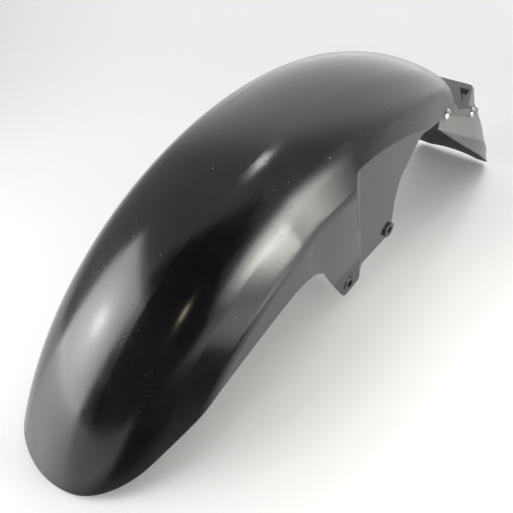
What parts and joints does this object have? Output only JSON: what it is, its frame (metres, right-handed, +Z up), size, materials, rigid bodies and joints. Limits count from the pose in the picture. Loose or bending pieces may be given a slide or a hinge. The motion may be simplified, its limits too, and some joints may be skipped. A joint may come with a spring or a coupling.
{
  "type": "motorcycle front mudguard",
  "caption": "Front mudguard for a small motorcycle: long gloss black arch with stepped-in fork panels, drilled side lugs and a flexible flap riveted under its straight tail.",
  "frame": {"origin": "middle of the table under the part, which rests on its nose and on the end of its flap", "axes": "+X towards the front of the motorcycle, +Y to its left, +Z up"},
  "size_m": [0.6398, 0.1474, 0.204],
  "materials": {
    "gloss_black_shell": "polished moulded plastic with fine scratches",
    "satin_black_flap": "satin flexible sheet with a cut edge",
    "bright_rivets": "bright domed heads",
    "dark_mandrels": "dull broken stems"
  },
  "bodies": {
    "root": {"mudguard_shell": "gloss_black_shell", "rear_flap": "satin_black_flap", "rivets": "bright_rivets", "rivet_mandrels": "dark_mandrels"}
  },
  "joints": []
}
